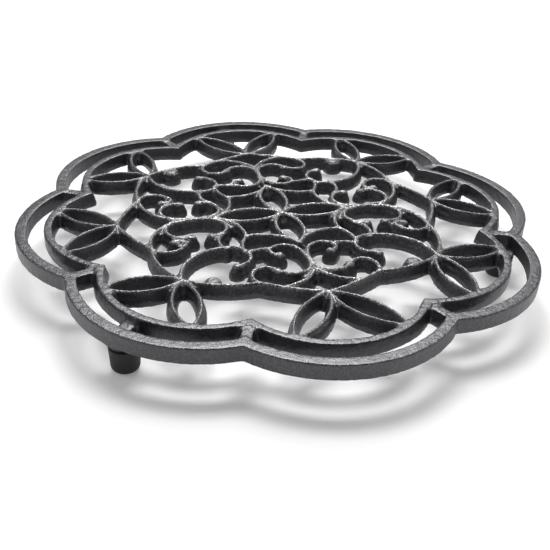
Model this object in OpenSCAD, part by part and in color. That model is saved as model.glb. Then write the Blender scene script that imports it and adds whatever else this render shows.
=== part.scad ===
// Round cast-iron trivet: a scalloped double rim round an openwork rosette of leaves and scrolls,
// standing on three short legs with rubber caps. The table is the plane z = 0, under the middle.

/* [Overall] */
// Width over two opposite lobes
overall_w = 200; // [190:1:215]
// Height of the top face above the table
overall_h = 17.5; // [15.5:0.5:24]
// Thickness of the openwork and the rims
casting_t = 6; // [4.8:0.2:7]

/* [Rims] */
// Radius of a lobe's outer edge, as a share of the width
lobe_r_share = 0.2315; // [0.215:0.0005:0.25]
// Width of the outer rim
outer_rim_w = 4.3; // [3.2:0.1:5.4]
// Gap between the two rims
rim_gap = 5.9; // [4.5:0.1:7]
// Width of the inner rim
inner_rim_w = 3.2; // [2.4:0.1:4.2]
// Width of the web that joins the rims at each notch
web_w = 4.4; // [3:0.1:6]

/* [Openwork] */
// Distance from the middle to the leaf pairs of the side lobes, as a share of the width
rosette_x_share = 0.3175; // [0.3:0.0025:0.33]
// Distance from the middle to the leaf pairs of the front and rear lobes, as a share of the width
rosette_y_share = 0.2965; // [0.28:0.0025:0.315]
// Width of a rib
rib_w = 2.3; // [2:0.1:2.7]
// How far a joint between two ribs stands out beside them
knuckle = 0.15; // [0.1:0.05:0.3]
// Half width of a lobe's leaf, between rib centres
leaf_half_w = 4.6; // [3.6:0.1:5.4]
// Half width of a leaf in the middle, between rib centres
heart_half_w = 5.0; // [4:0.1:5.6]
// Radius of the buds that end the scrolls
bud_r = 2.3; // [1.9:0.1:2.7]
// Radius of the ball beside each corner scroll
ball_r = 3.3; // [2.9:0.1:3.7]

/* [Legs and caps] */
// How far the two legs under lobes stand outside the middle of the gap between the rims
lobe_leg_out = 1; // [0:0.1:2]
// How far the leg under a notch stands outside the middle of that gap
notch_leg_out = 2.5; // [0.5:0.1:4]
// Turn of each leg from its place in the pattern, as cast
leg_turns = [-1.3, -1, 2];
// Diameter of a leg above its cap
leg_d = 9.8; // [8:0.1:10]
// Radius of the fillet between a leg and the casting
leg_fillet = 1.3; // [0.8:0.1:1.6]
// Depth of the flange that joins a leg to the casting, half of it inside the casting
leg_flange = 0.8; // [0.6:0.1:1.2]
// Height of bare leg between the casting and a cap
neck_h = 2.4; // [2.2:0.1:3.2]
// Diameter of the spigot inside a cap
spigot_d = 6.4; // [5:0.1:6.8]
// Length of the spigot
spigot_l = 5; // [4:0.1:5.6]
// Width of the boss that shows between the rims above a leg under a lobe
boss_w = 4.8; // [3.6:0.1:6]
// Depth of the boss below the top face
boss_drop = 1.5; // [0.4:0.1:2.5]
// How far a cap's top stands out beside its leg
cap_proud = 0.2; // [0.1:0.1:0.6]
// How much less a cap's diameter is above its rounded foot than at its top
cap_taper = 0.8; // [0.2:0.1:1.4]
// Radius of a cap's lower edge
cap_round = 2.2; // [1.4:0.1:2.4]
// Bevel on a cap's upper edge
cap_bevel = 0.3; // [0.2:0.1:0.6]

/* [Hidden] */
$fn = 96;
lobes = 8;
lobe_pitch = 360 / lobes;
overrun = 1;

iron = [0.25, 0.25, 0.26];
rubber = [0.08, 0.08, 0.09];

underside = overall_h - casting_t;
cap_h = underside - neck_h;
cap_d = leg_d + 2 * cap_proud;
cap_foot_d = cap_d - cap_taper;
rosette_x = rosette_x_share * overall_w;
rosette_y = rosette_y_share * overall_w;
lobe_r = lobe_r_share * overall_w;
lobe_at = overall_w / 2 - lobe_r;
// Radii of the four rim edges about a lobe's own centre, from the outside in
outer_in_r = lobe_r - outer_rim_w;
inner_out_r = outer_in_r - rim_gap;
inner_in_r = inner_out_r - inner_rim_w;

// Where the notches of an edge with radius r lie, and its reach at an angle off the lobe's axis
function reach(r, a) = lobe_at * cos(a) + sqrt(r * r - pow(lobe_at * sin(a), 2));
function notch(r) = reach(r, lobe_pitch / 2);

// Bearing and distance of the front left, right and rear legs, the first and last under lobes
leg_bearings = [leg_turns[0] - 3 * lobe_pitch, leg_turns[1] - lobe_pitch / 2, leg_turns[2] + 2 * lobe_pitch];
lobe_leg_at = lobe_at + (inner_out_r + outer_in_r) / 2 + lobe_leg_out;
notch_leg_at = (notch(inner_out_r) + notch(outer_in_r)) / 2 + notch_leg_out;
leg_reaches = [lobe_leg_at, notch_leg_at, lobe_leg_at];

// Place in the rosette from shares of its two half widths; swap() mirrors a place about the diagonal
function at(s) = [s[0] * rosette_x, s[1] * rosette_y];
function swap(s) = [s[1], s[0]];
function polar(r, a) = [r * cos(a), r * sin(a)];

// Shares of the rosette's half widths in one quarter, where ribs meet
joint_share = [1, 0];
corner_share = [0.727, 0.727];
kink_share = [0.838, 0.335];
heart_tip_share = [0.415, 0];
crossing_share = [0.285, 0.285];
ball_share = [0.57, 0.765];

// Chains of arcs; the ring is the same about the diagonal
ring_shares = [joint_share, [0.928, 0.185], kink_share, [0.825, 0.525], corner_share];

// Chains that meet the left and right axis
side_kink_shares = [kink_share, [0.805, 0.165], [0.655, 0.01]];
side_scroll_shares = [
    [0.595, 0.235], [0.73, 0.13], [0.62, 0.02], [0.53, 0.003], [0.445, 0.022], [0.372, 0.14], [0.478, 0.235]
];
side_node_shares = [heart_tip_share, [0.307, 0.125], crossing_share];
side_hook_shares = [kink_share, [0.752, 0.4], [0.66, 0.345], [0.645, 0.29], [0.7, 0.275]];
side_link_shares = [[0.4, 0.22], [0.45, 0.3], [0.43, 0.42]];

// Chains that meet the front and rear axis
end_kink_shares = [[0.215, 0.905], [0.09, 0.855], [0.004, 0.745]];
end_scroll_shares = [
    [0.15, 0.545], [0.19, 0.515], [0.185, 0.46], [0.1, 0.435], [0.025, 0.5],
    [0.006, 0.59], [0.012, 0.7], [0.1, 0.777], [0.205, 0.722]
];
end_node_shares = [swap(heart_tip_share), [0.13, 0.3], crossing_share];
end_hook_shares = [swap(kink_share), [0.357, 0.76], [0.322, 0.69], [0.26, 0.68], [0.205, 0.722]];
end_link_shares = [[0.185, 0.46], [0.25, 0.463], [0.322, 0.49]];

// Chains between the two
corner_scroll_shares = [corner_share, [0.655, 0.51], [0.445, 0.406], [0.312, 0.53], [0.41, 0.63]];
crossing_link_shares = [crossing_share, [0.325, 0.37], [0.335, 0.47]];

chains = [
    ring_shares, [for (s = ring_shares) swap(s)],
    side_kink_shares, side_scroll_shares, side_node_shares, side_hook_shares, side_link_shares,
    end_kink_shares, end_scroll_shares, end_node_shares, end_hook_shares, end_link_shares,
    corner_scroll_shares, crossing_link_shares
];
buds = [
    side_scroll_shares[0], side_scroll_shares[6], side_hook_shares[4],
    end_scroll_shares[0], end_scroll_shares[8], corner_scroll_shares[4]
];

// Leaf tips on the inner rim in one quarter, with the place on the rosette that each starts from
leaf_angles = [11.5, 31, 56, 77.5];
leaf_starts = [at(joint_share), at(corner_share), at(corner_share), at(swap(joint_share))];

// Centre of the circle through three points
function centre(a, b, c) =
    let (
        d = 2 * (a[0] * (b[1] - c[1]) + b[0] * (c[1] - a[1]) + c[0] * (a[1] - b[1])),
        x = (a * a) * (b[1] - c[1]) + (b * b) * (c[1] - a[1]) + (c * c) * (a[1] - b[1]),
        y = (a * a) * (c[0] - b[0]) + (b * b) * (a[0] - c[0]) + (c * c) * (b[0] - a[0])
    ) [x / d, y / d];
function bearing(v) = atan2(v[1], v[0]);
function turn(a, b) = (b - a + 720) % 360;

// Pie slice that starts on the +X axis and runs counter-clockwise
module slice(r, sweep) {
    steps = 4;
    polygon(concat([[0, 0]], [for (i = [0 : steps]) polar(r, sweep * i / steps)]));
}

// Plan of a rib along the circle from a through b to c
module arc_rib(a, b, c) {
    o = centre(a, b, c);
    r = norm(a - o);
    left = turn(bearing(a - o), bearing(b - o)) < turn(bearing(a - o), bearing(c - o));
    sweep = left ? turn(bearing(a - o), bearing(c - o)) : turn(bearing(c - o), bearing(a - o));
    translate(o) rotate(bearing(left ? a - o : c - o))
        intersection() {
            difference() {
                circle(r + rib_w / 2);
                circle(r - rib_w / 2);
            }
            slice(2 * (r + rib_w), sweep);
        }
}

// Round end of a rib, or a bud when r is larger
module post(p, r = rib_w / 2 + knuckle) {
    translate(p) circle(r);
}

// Chain of arcs; every second point is a joint between two of them
module chain(points) {
    for (i = [0 : 2 : len(points) - 3])
        arc_rib(points[i], points[i + 1], points[i + 2]);
    for (i = [0 : 2 : len(points) - 1])
        post(points[i]);
}

// Pointed oval between two places
module leaf(a, b, half_w) {
    side = [a[1] - b[1], b[0] - a[0]] / norm(b - a) * half_w;
    for (s = [-1, 1])
        arc_rib(a, (a + b) / 2 + s * side, b);
    post(a);
    post(b);
}

module quarter() {
    for (c = chains)
        chain([for (s = c) at(s)]);
    for (s = buds)
        post(at(s), bud_r);
    post(at(ball_share), ball_r);
    for (i = [0 : len(leaf_angles) - 1]) {
        off_axis = leaf_angles[i] - round(leaf_angles[i] / lobe_pitch) * lobe_pitch;
        tip = polar(reach((inner_out_r + inner_in_r) / 2, off_axis), leaf_angles[i]);
        leaf(leaf_starts[i], tip, leaf_half_w);
    }
}

// Plan of a bar across the gap between the rims, at its place on the +X axis
module bar(inner_at, outer_at, w) {
    translate([inner_at - inner_rim_w / 2, -w / 2])
        square([outer_at - inner_at + (inner_rim_w + outer_rim_w) / 2, w]);
}

module openwork() {
    for (x = [0, 1], y = [0, 1])
        mirror([x, 0]) mirror([0, y]) quarter();
    for (s = [-1, 1]) {
        leaf([0, 0], at(s * heart_tip_share), heart_half_w);
        leaf([0, 0], at(s * swap(heart_tip_share)), heart_half_w);
    }
    for (i = [0 : lobes - 1])
        rotate((i + 0.5) * lobe_pitch) bar(notch(inner_out_r), notch(outer_in_r), web_w);
}

// Plan inside one scalloped edge, whose lobes have radius r
module scallop(r) {
    for (i = [0 : lobes - 1])
        rotate(i * lobe_pitch) translate([lobe_at, 0]) circle(r);
    circle(lobe_at);
}

// Plan of a rim between two scalloped edges
module rim(out_r, in_r) {
    difference() {
        scallop(out_r);
        scallop(in_r);
    }
}

// Leg that hangs from the casting, its top face at z = leg_flange / 2
module leg() {
    translate([0, 0, -neck_h]) {
        rotate_extrude()
            difference() {
                square([leg_d / 2 + leg_fillet, neck_h + leg_flange / 2]);
                translate([leg_d / 2, -overrun])
                    square([leg_fillet + overrun, neck_h + overrun - leg_flange / 2 - leg_fillet]);
                translate([leg_d / 2 + leg_fillet, neck_h - leg_flange / 2 - leg_fillet]) circle(leg_fillet);
            }
        translate([0, 0, -spigot_l]) cylinder(h = spigot_l + overrun, d = spigot_d);
    }
}

// Moves its children to the place of leg i
module at_leg(i) {
    rotate(leg_bearings[i]) translate([leg_reaches[i], 0]) children();
}

module casting() {
    color(iron) translate([0, 0, underside]) {
        linear_extrude(casting_t) {
            rim(lobe_r, outer_in_r);
            rim(inner_out_r, inner_in_r);
            openwork();
        }
        for (i = [0 : len(leg_bearings) - 1])
            at_leg(i) leg();
        for (i = [0, 2])
            linear_extrude(casting_t - boss_drop)
                rotate(leg_bearings[i]) bar(lobe_at + inner_out_r, lobe_at + outer_in_r, boss_w);
    }
}

// Tapered rubber cap with a rounded foot and a blind bore for the spigot
module cap() {
    color(rubber) rotate_extrude()
        difference() {
            union() {
                square([cap_foot_d / 2 - cap_round, cap_h / 2]);
                intersection() {
                    translate([cap_foot_d / 2 - cap_round, cap_round]) circle(cap_round);
                    square([cap_foot_d / 2, cap_h]);
                }
                polygon([
                    [0, cap_round], [cap_foot_d / 2, cap_round], [cap_d / 2, cap_h - cap_bevel],
                    [cap_d / 2 - cap_bevel, cap_h], [0, cap_h]
                ]);
            }
            translate([0, cap_h - spigot_l]) square([spigot_d / 2, spigot_l + overrun]);
        }
}

module cap_front() { at_leg(0) cap(); }
module cap_right() { at_leg(1) cap(); }
module cap_rear() { at_leg(2) cap(); }

casting();
cap_front();
cap_right();
cap_rear();
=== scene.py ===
"""Round openwork cast-iron trivet on a white sweep, seen from low in front and a little left."""

import math

import bmesh
import bpy
import numpy as np
from mathutils import Matrix, Vector

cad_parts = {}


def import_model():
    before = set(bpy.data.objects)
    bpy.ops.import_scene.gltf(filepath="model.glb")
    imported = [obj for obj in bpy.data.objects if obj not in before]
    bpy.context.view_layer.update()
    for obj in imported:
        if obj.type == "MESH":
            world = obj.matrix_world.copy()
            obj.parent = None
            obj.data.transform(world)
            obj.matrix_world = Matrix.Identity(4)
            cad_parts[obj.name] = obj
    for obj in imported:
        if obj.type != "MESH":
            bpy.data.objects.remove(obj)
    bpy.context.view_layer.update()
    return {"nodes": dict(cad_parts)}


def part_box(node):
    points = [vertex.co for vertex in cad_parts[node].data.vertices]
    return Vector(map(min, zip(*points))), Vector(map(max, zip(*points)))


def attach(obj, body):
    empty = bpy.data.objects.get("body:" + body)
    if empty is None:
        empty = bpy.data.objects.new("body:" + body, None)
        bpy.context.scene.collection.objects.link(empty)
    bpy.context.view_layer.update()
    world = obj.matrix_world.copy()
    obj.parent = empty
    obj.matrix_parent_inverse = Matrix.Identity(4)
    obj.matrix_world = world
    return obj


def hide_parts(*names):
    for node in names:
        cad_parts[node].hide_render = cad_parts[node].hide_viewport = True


MM = 0.001
TURN = 2 * math.pi
AXES = 3

# Camera, in metres; the lens and the sensor's width are in mm
EYE = Vector((-0.0809, -0.2700, 0.1563))
AIM = Vector((-0.0152, -0.0468, 0.0175))
LENS = 52.58
SENSOR_W = 36
ROLL = math.radians(2.8)
NEAREST, FARTHEST = 0.01, 20

# Lamps, all aimed at the middle: name, place, width and height in metres, power in watts
SOFTBOXES = [
    ("key_softbox", (0.08, 0.46, 1.0), (0.7, 0.3), 10),
    ("rear_softbox", (0.28, 0.87, 0.87), (0.86, 0.4), 6.2),
    ("left_softbox", (-0.85, 0.15, 0.8), (0.5, 0.5), 1.3),
    ("right_softbox", (0.9, 0.1, 0.8), (0.5, 0.5), 1.3),
]

# The world lights evenly. Its backdrop is only for the camera and gloss, and it is white where the way
# looked in has a low z and dim where that is higher.
AMBIENT = 0.2
BACKDROP_WHITE_TO, BACKDROP_DIM_FROM = 0.05, 0.22
BACKDROP_DIM = 0.2

# The floor's glow, also for the camera and gloss alone, grows with the distance from the middle
FLOOR_SIZE = 6.0
FLOOR_GREY = 0.86
GLOW_FROM, GLOW_TO = 0.3, 0.9
GLOW_LEAST = 0.19

# Iron's colours, each in the pits and on the knobs of its grain. The upward faces are lighter than the walls,
# partly as rubbed wear and partly as painted light falling on the tops.
WALL_PIT, WALL_KNOB = (0.008, 0.0073, 0.0117), (0.038, 0.036, 0.0445)
TOP_WEAR_AND_PAINTED_LIGHT_PIT, TOP_WEAR_AND_PAINTED_LIGHT_KNOB_RIM, TOP_WEAR_AND_PAINTED_LIGHT_KNOB_MIDDLE = (0.019, 0.0183, 0.021), (0.06, 0.059, 0.063), (0.26, 0.25, 0.252)
# Bare metal on the crests: partly rubbed wear, partly a painted highlight along the crest lines
BARE_METAL_AND_PAINTED_HIGHLIGHT_PIT, BARE_METAL_AND_PAINTED_HIGHLIGHT_KNOB = (0.035, 0.034, 0.036), (0.62, 0.6, 0.6)
BARE_METALLIC = 0.75
IRON_TINT = (0.98, 0.96, 1.0)
IRON_SPECULAR = 0.9
WALL_ROUGHNESS, TOP_ROUGHNESS = 0.4, 0.27

# Iron's grain: cells of its two noises and of the patches that break up the crests' wear and painted
# highlight, the shares of the two noises, and where pits end and knobs begin
PEBBLE, FINE, PATCH = 0.75 * MM, 0.3 * MM, 5 * MM
PEBBLE_SHARE, FINE_SHARE = 0.75, 0.25
PIT_TO, KNOB_FROM = 0.45, 0.59
PATCH_LOW, PATCH_HIGH, PATCH_LEAST = 0.4, 0.6, 0.3
IRON_BUMP = 0.27 * MM
BUMP_AT_RIM, BUMP_IN_MIDDLE = 0.65, 1.0

# Rubber: clean and dusty looks, and the cells of its tooth and of the dust
RUBBER_CLEAN, RUBBER_DUSTY = (0.019, 0.0185, 0.021), (0.034, 0.0335, 0.036)
CLEAN_ROUGHNESS, DUSTY_ROUGHNESS = 0.58, 0.72
TOOTH, DUST = 0.22 * MM, 3.5 * MM
DUST_FROM, DULL_FROM, DUST_TO = 0.45, 0.3, 0.8
RUBBER_SPECULAR = 0.4
RUBBER_BUMP, RUBBER_BUMP_STRENGTH = 0.03 * MM, 0.3

# Skin of the casting: cells of the remeshes, radius of the fillets, smoothing, share of the faces kept
VOXEL = 0.3 * MM
FILLET = 0.8 * MM
SOFTEN = {"factor": 0.5, "iterations": 5}
KEPT_FACES = 0.35

# Draft of the openwork's walls: all of it below DRAFT_DEPTH, and none on the legs
DRAFT = 0.85 * MM
DRAFT_DEPTH = 3.8 * MM
LEG_CLEARANCE = 0.5 * MM
OPENWORK_TO, RIMS_FROM = 84 * MM, 90 * MM

# Cast grain: depth on the rims and on the openwork, then cell, seed and share of its two noises.
# Grain of the value GRAIN_LEVEL leaves the surface where it is, and lower grain sinks it.
RIM_GRAIN, RIB_GRAIN = 0.11 * MM, 0.16 * MM
GRAIN_CELL = 1.1 * MM
GRAINS = [(GRAIN_CELL, 3, 0.6), (GRAIN_CELL / 2.3, 4, 0.4)]
GRAIN_TABLE = 64
GRAIN_LEVEL = 0.8

# Section of a rib: slope and rounding of its ridge, half width of the ridge, how far the walls stand in
# at the top, and the depth that stands for places off the ribs
RIB_SLOPE = 0.95
RIB_TIP = 0.3 * MM
RIB_REACH = 1.3 * MM
CREST_INSET = 0.3 * MM
RIDGE_DEEPEST = 1.3 * MM

# Flat tops of the webs, reaching a little past their sides
WEB_DROP = 0.3 * MM
WEB_MARGIN = 1 * MM

# Domed tops of the buds, balls and bosses; their edges start and end at these shares of their radius
DOME_DROP = 0.1 * MM
DOME_EDGE_DROP = 1.1 * MM
DOME_EDGE = (0.35, 1.1)
DOME_SIDE_SLOPE = 2

# Small bosses where ribs meet, which the CAD leaves out
BOSS_R = 1.9 * MM

# Filled corners at both ends of a leaf, also left out there: a cone below the crests
FILL_AT = 2.4 * MM
FILL_TOP_R = 0.9 * MM
FILL_FOOT_R = 2.5 * MM
FILL_DROP = 2.0 * MM
FILL_SIDES = 20

# Where the materials change: rubbed crests, which also carry a painted highlight; upward faces, painted
# lighter partly as wear and partly as painted light on the tops; and the worn middle
CREST_FULL, CREST_NONE = 0.12 * MM, 0.6 * MM
CREST_FROM_TOP = (1.8 * MM, 1 * MM)
UPWARD = (0.25, 0.75)
TOP_ABOVE_BASE, TOP_BELOW_TOP = 2 * MM, 1.5 * MM
WORN_MIDDLE_TO, WORN_RIM_FROM = 55 * MM, 66 * MM
WORN_AT_RIM = 0.4

# Sizes of the rims and the openwork, as in the CAD
HALF_W = 100 * MM
CASTING_T = 6.0 * MM
LOBES = 8
LOBE_PITCH = 360 / LOBES
LOBE_R = 46.3 * MM
OUTER_RIM_W = 4.3 * MM
RIM_GAP = 5.9 * MM
INNER_RIM_W = 3.2 * MM
WEB_W = 4.4 * MM
LEAF_HALF_W = 4.6 * MM
HEART_HALF_W = 5.0 * MM
BUD_R = 2.3 * MM
BALL_R = 3.3 * MM
LOBE_AT = HALF_W - LOBE_R
OUTER_IN_R = LOBE_R - OUTER_RIM_W
INNER_OUT_R = OUTER_IN_R - RIM_GAP
INNER_IN_R = INNER_OUT_R - INNER_RIM_W
ROSETTE = np.array([63.5, 59.3]) * MM

# Chains of arcs in one quarter, as shares of the rosette's half widths; the bosses aren't in the CAD
CORNER = (0.727, 0.727)
KINK = (0.838, 0.335)
HEART_TIP = (0.415, 0)
CROSSING = (0.285, 0.285)
BALL = (0.57, 0.765)
RING = [(1, 0), (0.928, 0.185), KINK, (0.825, 0.525), CORNER]
CHAINS = [
    RING,
    [(y, x) for x, y in RING],
    [KINK, (0.805, 0.165), (0.655, 0.01)],
    [
        (0.595, 0.235), (0.73, 0.13), (0.62, 0.02), (0.53, 0.003), (0.445, 0.022),
        (0.372, 0.14), (0.478, 0.235),
    ],
    [HEART_TIP, (0.307, 0.125), CROSSING],
    [KINK, (0.752, 0.4), (0.66, 0.345), (0.645, 0.29), (0.7, 0.275)],
    [(0.4, 0.22), (0.45, 0.3), (0.43, 0.42)],
    [(0.215, 0.905), (0.09, 0.855), (0.004, 0.745)],
    [
        (0.15, 0.545), (0.19, 0.515), (0.185, 0.46), (0.1, 0.435), (0.025, 0.5),
        (0.006, 0.59), (0.012, 0.7), (0.1, 0.777), (0.205, 0.722),
    ],
    [HEART_TIP[::-1], (0.13, 0.3), CROSSING],
    [KINK[::-1], (0.357, 0.76), (0.322, 0.69), (0.26, 0.68), (0.205, 0.722)],
    [(0.185, 0.46), (0.25, 0.463), (0.322, 0.49)],
    [CORNER, (0.655, 0.51), (0.445, 0.406), (0.312, 0.53), (0.41, 0.63)],
    [CROSSING, (0.325, 0.37), (0.335, 0.47)],
]
BUDS = [(0.595, 0.235), (0.478, 0.235), (0.7, 0.275), (0.15, 0.545), (0.205, 0.722), (0.41, 0.63)]
BOSSES = [(1, 0), (0, 1), CORNER, KINK, KINK[::-1], CROSSING, HEART_TIP, HEART_TIP[::-1], (0, 0)]
LEAF_ANGLES = (11.5, 31, 56, 77.5)
LEAF_STARTS = ((1, 0), CORNER, CORNER, (0, 1))


def set_view():
    bpy.context.scene.view_settings.view_transform = "Standard"


def make_camera():
    data = bpy.data.cameras.new("camera")
    data.sensor_fit = "HORIZONTAL"
    data.sensor_width = SENSOR_W
    data.lens = LENS
    data.clip_start = NEAREST
    data.clip_end = FARTHEST
    camera = bpy.data.objects.new("camera", data)
    bpy.context.collection.objects.link(camera)
    look = (AIM - EYE).to_track_quat("-Z", "Y").to_matrix().to_4x4()
    camera.matrix_world = Matrix.Translation(EYE) @ look @ Matrix.Rotation(ROLL, 4, "Z")
    bpy.context.scene.camera = camera


def rgb(colour):
    return (*colour, 1.0)


WHITE = rgb((1, 1, 1))


class Graph:
    """Short calls for making and joining the shader nodes of a material or a world."""

    def __init__(self, owner):
        owner.use_nodes = True
        self.tree = owner.node_tree
        self.tree.nodes.clear()

    def node(self, kind, inputs=None, **settings):
        made = self.tree.nodes.new(kind)
        for key, value in settings.items():
            setattr(made, key, value)
        for key, value in (inputs or {}).items():
            self.feed(made.inputs[key], value)
        return made

    def feed(self, socket, value):
        if isinstance(value, bpy.types.NodeSocket):
            self.tree.links.new(value, socket)
        else:
            socket.default_value = value

    def math(self, operation, a, b):
        return self.node("ShaderNodeMath", {0: a, 1: b}, operation=operation).outputs[0]

    def between(self, value, low, high, to_low=0.0, to_high=1.0):
        """Smooth step of value from low to high, mapped to to_low..to_high."""
        inputs = dict(enumerate((value, low, high, to_low, to_high)))
        return self.node("ShaderNodeMapRange", inputs, interpolation_type="SMOOTHSTEP").outputs[0]

    def mix_colour(self, factor, a, b):
        made = self.node("ShaderNodeMix", {0: factor}, data_type="RGBA")
        for socket, value in zip([s for s in made.inputs if s.type == "RGBA"], (a, b)):
            self.feed(socket, value)
        return [s for s in made.outputs if s.type == "RGBA"][0]

    def place(self):
        return self.node("ShaderNodeTexCoord").outputs["Object"]

    def attribute(self, name):
        return self.node("ShaderNodeAttribute", attribute_name=name).outputs["Fac"]

    def noise(self, place, cell, detail=3.0, roughness=0.6):
        inputs = {"Vector": place, "Scale": 1 / cell, "Detail": detail, "Roughness": roughness}
        return self.node("ShaderNodeTexNoise", inputs).outputs[0]

    def seen(self):
        """1 for camera, glossy and transmission rays, 0 for the rays that carry light around."""
        path = self.node("ShaderNodeLightPath").outputs
        looked_at = self.math("MAXIMUM", path["Is Camera Ray"], path["Is Glossy Ray"])
        return self.math("MAXIMUM", looked_at, path["Is Transmission Ray"])

    def bump(self, height, strength, distance):
        inputs = {"Strength": strength, "Distance": distance, "Height": height}
        return self.node("ShaderNodeBump", inputs).outputs["Normal"]

    def principled(self, inputs):
        self.surface(self.node("ShaderNodeBsdfPrincipled", inputs).outputs[0])

    def surface(self, shader, kind="ShaderNodeOutputMaterial"):
        self.node(kind, {"Surface": shader})


def iron_material():
    """Black sand-cast iron: pebbled, a little glossy, and rubbed to lighter bare metal on the crests, whose
    pale colour is also a painted highlight. Upward faces are painted lighter, partly as wear and partly as
    painted light.
    """
    material = bpy.data.materials.new("cast_iron")
    g = Graph(material)
    place = g.place()
    crest, worn, top = (g.attribute(name) for name in ("crest", "worn", "top"))

    pebble = g.noise(place, PEBBLE)
    fine = g.noise(place, FINE, detail=2.0)
    patch = g.noise(place, PATCH)
    height = g.math("ADD", g.math("MULTIPLY", pebble, PEBBLE_SHARE), g.math("MULTIPLY", fine, FINE_SHARE))
    speck = g.between(height, PIT_TO, KNOB_FROM)

    top_wear_and_painted_light_knob = g.mix_colour(g.between(worn, WORN_AT_RIM, 1.0), rgb(TOP_WEAR_AND_PAINTED_LIGHT_KNOB_RIM), rgb(TOP_WEAR_AND_PAINTED_LIGHT_KNOB_MIDDLE))
    wall_colour = g.mix_colour(speck, rgb(WALL_PIT), rgb(WALL_KNOB))
    # Upward faces get a lighter colour than the walls, partly as rubbed wear and partly as painted light on
    # the tops
    top_wear_and_painted_light_colour = g.mix_colour(speck, rgb(TOP_WEAR_AND_PAINTED_LIGHT_PIT), top_wear_and_painted_light_knob)
    bare_metal_and_painted_highlight_colour = g.mix_colour(speck, rgb(BARE_METAL_AND_PAINTED_HIGHLIGHT_PIT), rgb(BARE_METAL_AND_PAINTED_HIGHLIGHT_KNOB))
    patches = g.between(patch, PATCH_LOW, PATCH_HIGH, PATCH_LEAST, 1.0)
    # Pale crest lines, partly rubbed bare metal and partly a painted highlight, broken up in patches
    crest_wear_and_painted_highlight = g.math("MULTIPLY", g.math("MULTIPLY", crest, worn), patches)
    bump_strength = g.between(worn, WORN_AT_RIM, 1.0, BUMP_AT_RIM, BUMP_IN_MIDDLE)

    g.principled({
        "Base Color": g.mix_colour(crest_wear_and_painted_highlight, g.mix_colour(top, wall_colour, top_wear_and_painted_light_colour), bare_metal_and_painted_highlight_colour),
        "Roughness": g.between(top, 0.0, 1.0, WALL_ROUGHNESS, TOP_ROUGHNESS),
        "Metallic": g.math("MULTIPLY", g.math("MULTIPLY", crest_wear_and_painted_highlight, speck), BARE_METALLIC),
        "Specular IOR Level": IRON_SPECULAR,
        "Specular Tint": rgb(IRON_TINT),
        "Normal": g.bump(height, bump_strength, IRON_BUMP),
    })
    return material


def rubber_material():
    """Matt black moulded rubber with a fine tooth and a little dust."""
    material = bpy.data.materials.new("rubber_cap")
    g = Graph(material)
    place = g.place()
    tooth = g.noise(place, TOOTH)
    dust = g.noise(place, DUST, detail=4.0, roughness=0.65)
    g.principled({
        "Base Color": g.mix_colour(g.between(dust, DUST_FROM, DUST_TO), rgb(RUBBER_CLEAN), rgb(RUBBER_DUSTY)),
        "Roughness": g.between(dust, DULL_FROM, DUST_TO, CLEAN_ROUGHNESS, DUSTY_ROUGHNESS),
        "Specular IOR Level": RUBBER_SPECULAR,
        "Normal": g.bump(tooth, RUBBER_BUMP_STRENGTH, RUBBER_BUMP),
    })
    return material


def set_material(obj, material):
    obj.data.materials.clear()
    obj.data.materials.append(material)


def baked(start, modifiers):
    """What the start mesh, which is used up, becomes by modifiers given as (kind, settings) pairs."""
    obj = bpy.data.objects.new("baking", start)
    bpy.context.collection.objects.link(obj)
    for kind, settings in modifiers:
        modifier = obj.modifiers.new(kind.lower(), kind)
        for key, value in settings.items():
            setattr(modifier, key, value)
    graph = bpy.context.evaluated_depsgraph_get()
    mesh = bpy.data.meshes.new_from_object(obj.evaluated_get(graph))
    bpy.data.objects.remove(obj)
    bpy.data.meshes.remove(start)
    return mesh


def vectors(mesh, key):
    """The places ("co") or the normals ("normal") of a mesh's vertices."""
    values = np.empty(len(mesh.vertices) * AXES)
    mesh.vertices.foreach_get(key, values)
    return values.reshape(-1, AXES)


def move(mesh, place):
    mesh.vertices.foreach_set("co", place.ravel())
    mesh.update()


def add_float(mesh, name, values):
    attribute = mesh.attributes.new(name, "FLOAT", "POINT")
    attribute.data.foreach_set("value", values.astype(np.float32))


def smoothstep(x, low, high):
    """0 at low, rising to 1 at high."""
    t = np.clip((x - low) / (high - low), 0, 1)
    return t * t * (3 - 2 * t)


def fall(x, low, high):
    """1 at low, falling to 0 at high."""
    return smoothstep(-x, -high, -low)


def from_middle(place):
    return np.hypot(place[:, 0], place[:, 1])


def value_noise(points, cell, seed):
    """Smooth noise from -1 to 1 on a grid of random values, cell metres apart."""
    rng = np.random.default_rng(seed)
    table = rng.uniform(-1, 1, (GRAIN_TABLE,) * AXES)
    p = points / cell
    base = np.floor(p).astype(np.int64)
    t = smoothstep(p - base, 0, 1)
    total = np.zeros(len(points))
    for corner in np.ndindex((2,) * AXES):
        share = 1
        for axis, far in enumerate(corner):
            share = share * (t[:, axis] if far else 1 - t[:, axis])
        at = (base + corner) % GRAIN_TABLE
        total += share * table[at[:, 0], at[:, 1], at[:, 2]]
    return total


def from_spot(quarter, spot):
    """Distance of points from a spot given in shares of the rosette, in plan."""
    return np.hypot(*(quarter - np.array(spot) * ROSETTE).T)


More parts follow.
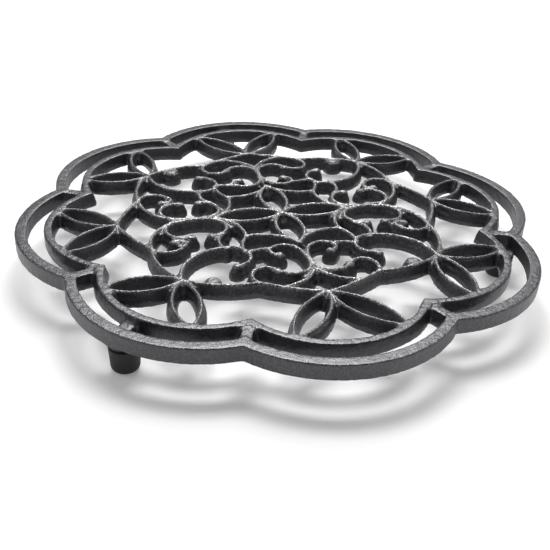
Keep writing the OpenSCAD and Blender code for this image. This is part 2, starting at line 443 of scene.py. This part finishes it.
def from_arc(points, a, b, c):
    """Distance of points from the arc through a, b and c, in plan."""
    d = 2 * (a[0] * (b[1] - c[1]) + b[0] * (c[1] - a[1]) + c[0] * (a[1] - b[1]))
    squares = (a @ a, b @ b, c @ c)
    x = squares[0] * (b[1] - c[1]) + squares[1] * (c[1] - a[1]) + squares[2] * (a[1] - b[1])
    y = squares[0] * (c[0] - b[0]) + squares[1] * (a[0] - c[0]) + squares[2] * (b[0] - a[0])
    middle = np.array([x, y]) / d
    start, through, end = (math.atan2(p[1] - middle[1], p[0] - middle[0]) for p in (a, b, c))
    if (through - start) % TURN > (end - start) % TURN:
        start, end = end, start
    off = points - middle
    inside = (np.arctan2(off[:, 1], off[:, 0]) - start) % TURN <= (end - start) % TURN
    radial = abs(np.hypot(off[:, 0], off[:, 1]) - np.linalg.norm(a - middle))
    ends = np.minimum(np.hypot(*(points - a).T), np.hypot(*(points - c).T))
    return np.where(inside, radial, ends)


def rim_reach(r, angle):
    """How far a scalloped edge whose lobes have radius r is from the middle, at this angle off a lobe."""
    return LOBE_AT * np.cos(angle) + np.sqrt(r * r - (LOBE_AT * np.sin(angle)) ** 2)


def leaves():
    """Start, tip and half width of each leaf and heart in one quarter."""
    found = []
    middle_r = (INNER_OUT_R + INNER_IN_R) / 2
    for angle, start in zip(LEAF_ANGLES, LEAF_STARTS):
        off = math.radians(angle - round(angle / LOBE_PITCH) * LOBE_PITCH)
        bearing = math.radians(angle)
        tip = rim_reach(middle_r, off) * np.array([math.cos(bearing), math.sin(bearing)])
        found.append((np.array(start) * ROSETTE, tip, LEAF_HALF_W))
    for tip in (HEART_TIP, HEART_TIP[::-1]):
        found.append((np.zeros(2), np.array(tip) * ROSETTE, HEART_HALF_W))
    return found


def rib_arcs():
    """Three places on each rib of one quarter."""
    arcs = []
    for chain in CHAINS:
        spots = [np.array(s) * ROSETTE for s in chain]
        arcs += [spots[i : i + 3] for i in range(0, len(spots) - 2, 2)]
    for a, b, half_w in leaves():
        side = np.array([a[1] - b[1], b[0] - a[0]]) / np.linalg.norm(b - a) * half_w
        arcs += [(a, (a + b) / 2 + side, b), (a, (a + b) / 2 - side, b)]
    return arcs


def ridge(distance):
    """Depth of a rib's surface below its crest, at this distance from the rib's middle."""
    return np.hypot(RIB_SLOPE * np.minimum(distance, RIB_REACH), RIB_TIP) - RIB_TIP


def dome(distance, r):
    """Depth of the surface of a bud, ball or boss below the highest plane."""
    low, high = DOME_EDGE
    edge = DOME_EDGE_DROP * smoothstep(distance, r * low, r * high)
    return DOME_DROP + edge + np.maximum(distance - r, 0) * DOME_SIDE_SLOPE


def rib_drop(xy):
    """How far ribs and bosses lie below the casting's highest plane."""
    quarter = abs(xy)
    drop = np.full(len(xy), RIDGE_DEEPEST)
    for a, b, c in rib_arcs():
        drop = np.minimum(drop, ridge(from_arc(quarter, a, b, c)))
    for spot in BOSSES:
        drop = np.minimum(drop, dome(from_spot(quarter, spot), BOSS_R))
    return drop


def rim_angle(xy):
    """Angle of places off the axis of the lobe that they are in."""
    pitch = TURN / LOBES
    return (np.arctan2(xy[:, 1], xy[:, 0]) + pitch / 2) % pitch - pitch / 2


def on_rims(xy):
    return from_middle(xy) > rim_reach(INNER_IN_R, rim_angle(xy))


def rim_drop(xy):
    """How far rims and webs lie below the casting's highest plane."""
    reach, angle = from_middle(xy), rim_angle(xy)
    outside = np.full(len(xy), np.inf)
    for low_r, high_r in ((INNER_IN_R, INNER_OUT_R), (OUTER_IN_R, LOBE_R)):
        low, high = rim_reach(low_r, angle), rim_reach(high_r, angle)
        outside = np.minimum(outside, np.maximum(low - reach, reach - high))
    drop = ridge(np.maximum(outside, 0))
    from_web = abs(reach * np.sin(TURN / LOBES / 2 - abs(angle)))
    near_web = on_rims(xy) & (from_web < WEB_W / 2 + WEB_MARGIN)
    return np.where(near_web, np.minimum(drop, WEB_DROP), drop)


def casting_drop(xy):
    """How far the casting's surface lies below its highest plane."""
    drop = np.minimum(rib_drop(xy), rim_drop(xy))
    for spot, r in [(s, BUD_R) for s in BUDS] + [(BALL, BALL_R)]:
        drop = np.minimum(drop, dome(from_spot(abs(xy), spot), r))
    return drop


def with_filled_corners(source, top):
    """Copy of the casting's mesh with a cone in the corner at both ends of each leaf and heart."""
    bm = bmesh.new()
    bm.from_mesh(source)
    spots = set()
    for start, tip, _ in leaves():
        step = (tip - start) / np.linalg.norm(tip - start) * FILL_AT
        for x, y in (start + step, tip - step):
            spots |= {(x, y), (-x, y), (x, -y), (-x, -y)}
    low, high = top - CASTING_T, top - FILL_DROP
    for x, y in sorted(spots):
        bmesh.ops.create_cone(
            bm,
            cap_ends=True,
            segments=FILL_SIDES,
            radius1=FILL_FOOT_R,
            radius2=FILL_TOP_R,
            depth=high - low,
            matrix=Matrix.Translation((x, y, (low + high) / 2)),
        )
    mesh = bpy.data.meshes.new("filled_casting")
    bm.to_mesh(mesh)
    bm.free()
    return mesh


def in_openwork(place):
    """1 in the openwork, falling to 0 at the rims."""
    return fall(from_middle(place), OPENWORK_TO, RIMS_FROM)


def flare_walls(mesh, top):
    """Draft the openwork's walls, so that its openings narrow from the top to the underside."""
    place, normal = vectors(mesh, "co"), vectors(mesh, "normal")
    above_legs = place[:, 2] > top - CASTING_T - LEG_CLEARANCE
    flare = smoothstep(top - place[:, 2], 0, DRAFT_DEPTH) * above_legs
    place[:, :2] += normal[:, :2] * (DRAFT * flare * in_openwork(place))[:, None]
    move(mesh, place)


def shape_crests(mesh, top):
    """Lower the upper surface to its ridges and domes, then draw it in and give it its grain."""
    place, normal = vectors(mesh, "co"), vectors(mesh, "normal")
    base = top - CASTING_T
    lift = smoothstep(place[:, 2], base, top)
    upper = place[:, 2] > base
    place[upper, 2] -= (casting_drop(place[:, :2]) * (place[:, 2] - base) / CASTING_T)[upper]

    inside = in_openwork(place)
    inset = inside * CREST_INSET * lift * np.hypot(normal[:, 0], normal[:, 1])
    grain = sum(value_noise(place, cell, seed) * share for cell, seed, share in GRAINS)
    depth = RIM_GRAIN + (RIB_GRAIN - RIM_GRAIN) * inside
    move(mesh, place + normal * (depth * (grain - GRAIN_LEVEL) - inset)[:, None])


def mark_wear_and_painted_light(mesh, top):
    """Store where the materials change, as attributes of the mesh, among them the painted light on the upward
    faces and the painted highlight on the crests.
    """
    place, upward = vectors(mesh, "co"), vectors(mesh, "normal")[:, 2]
    height, base = place[:, 2], top - CASTING_T
    ribs = np.where(on_rims(place[:, :2]), RIDGE_DEEPEST, rib_drop(place[:, :2]))
    high_up = smoothstep(height, *(top - depth for depth in CREST_FROM_TOP))
    on_top = smoothstep(height, base + TOP_ABOVE_BASE, top - TOP_BELOW_TOP)
    middle = fall(from_middle(place), WORN_MIDDLE_TO, WORN_RIM_FROM)
    # The crest attribute marks the crest lines that are painted pale, partly as wear and partly as a painted
    # highlight
    add_float(mesh, "crest", fall(ribs, CREST_FULL, CREST_NONE) * high_up)
    # The top attribute marks upward faces that are painted lighter, partly as wear and partly as painted
    # light
    add_float(mesh, "top", smoothstep(upward, *UPWARD) * on_top)
    add_float(mesh, "worn", WORN_AT_RIM + (1 - WORN_AT_RIM) * middle)


def casting_skin(node):
    """The casting with rounded crests, drafted walls and a sand-cast grain."""
    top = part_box("casting")[1][2]
    remesh = ("REMESH", {"mode": "VOXEL", "voxel_size": VOXEL, "adaptivity": 0.0})
    grown = ("DISPLACE", {"strength": FILLET, "mid_level": 0.0})
    shrunk = ("DISPLACE", {"strength": -FILLET, "mid_level": 0.0})
    mesh = baked(with_filled_corners(node.data, top), [remesh, grown, remesh, shrunk, remesh])
    flare_walls(mesh, top)
    mesh = baked(mesh, [remesh, ("SMOOTH", SOFTEN)])
    shape_crests(mesh, top)
    mesh = baked(mesh, [("DECIMATE", {"ratio": KEPT_FACES})])
    # Thinning can lift a vertex a little above the highest plane
    place = vectors(mesh, "co")
    place[:, 2] = np.minimum(place[:, 2], top)
    move(mesh, place)
    mark_wear_and_painted_light(mesh, top)
    mesh.shade_smooth()
    mesh.update()
    skin = bpy.data.objects.new("casting_skin", mesh)
    bpy.context.collection.objects.link(skin)
    skin.matrix_world = node.matrix_world.copy()
    return skin


def make_floor():
    bpy.ops.mesh.primitive_plane_add(size=FLOOR_SIZE, location=(0, 0, 0))
    floor = bpy.context.object
    floor.name = "floor"
    material = bpy.data.materials.new("white_sweep")
    g = Graph(material)
    away = g.node("ShaderNodeVectorMath", {0: g.place()}, operation="LENGTH").outputs["Value"]
    strength = g.math("MULTIPLY", g.seen(), g.between(away, GLOW_FROM, GLOW_TO, GLOW_LEAST, 1.0))
    diffuse = g.node("ShaderNodeBsdfDiffuse", {"Color": rgb((FLOOR_GREY,) * 3)})
    glow = g.node("ShaderNodeEmission", {"Color": WHITE, "Strength": strength})
    g.surface(g.node("ShaderNodeAddShader", {0: diffuse.outputs[0], 1: glow.outputs[0]}).outputs[0])
    set_material(floor, material)


def make_world():
    world = bpy.data.worlds.new("studio")
    g = Graph(world)
    way = g.node("ShaderNodeTexCoord").outputs["Generated"]
    up = g.node("ShaderNodeSeparateXYZ", {0: way}).outputs[2]
    backdrop = g.between(up, BACKDROP_WHITE_TO, BACKDROP_DIM_FROM, 1.0, BACKDROP_DIM)
    extra = g.math("MULTIPLY", g.seen(), g.math("SUBTRACT", backdrop, AMBIENT))
    inputs = {"Color": WHITE, "Strength": g.math("ADD", extra, AMBIENT)}
    g.surface(g.node("ShaderNodeBackground", inputs).outputs[0], "ShaderNodeOutputWorld")
    bpy.context.scene.world = world


def make_lights():
    for name, place, size, power in SOFTBOXES:
        data = bpy.data.lights.new(name, "AREA")
        data.shape = "RECTANGLE"
        data.size, data.size_y = size
        data.energy = power
        light = bpy.data.objects.new(name, data)
        bpy.context.collection.objects.link(light)
        aim = (-Vector(place)).to_track_quat("-Z", "Y").to_matrix().to_4x4()
        light.matrix_world = Matrix.Translation(Vector(place)) @ aim


def main():
    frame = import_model()

    set_view()
    make_camera()
    make_world()
    make_lights()
    make_floor()

    iron = iron_material()
    rubber = rubber_material()

    skin = casting_skin(frame["nodes"]["casting"])
    set_material(skin, iron)
    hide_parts("casting")
    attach(skin, "root")

    for name, node in frame["nodes"].items():
        if name.startswith("cap_"):
            for slot in node.material_slots:
                slot.material = rubber


main()
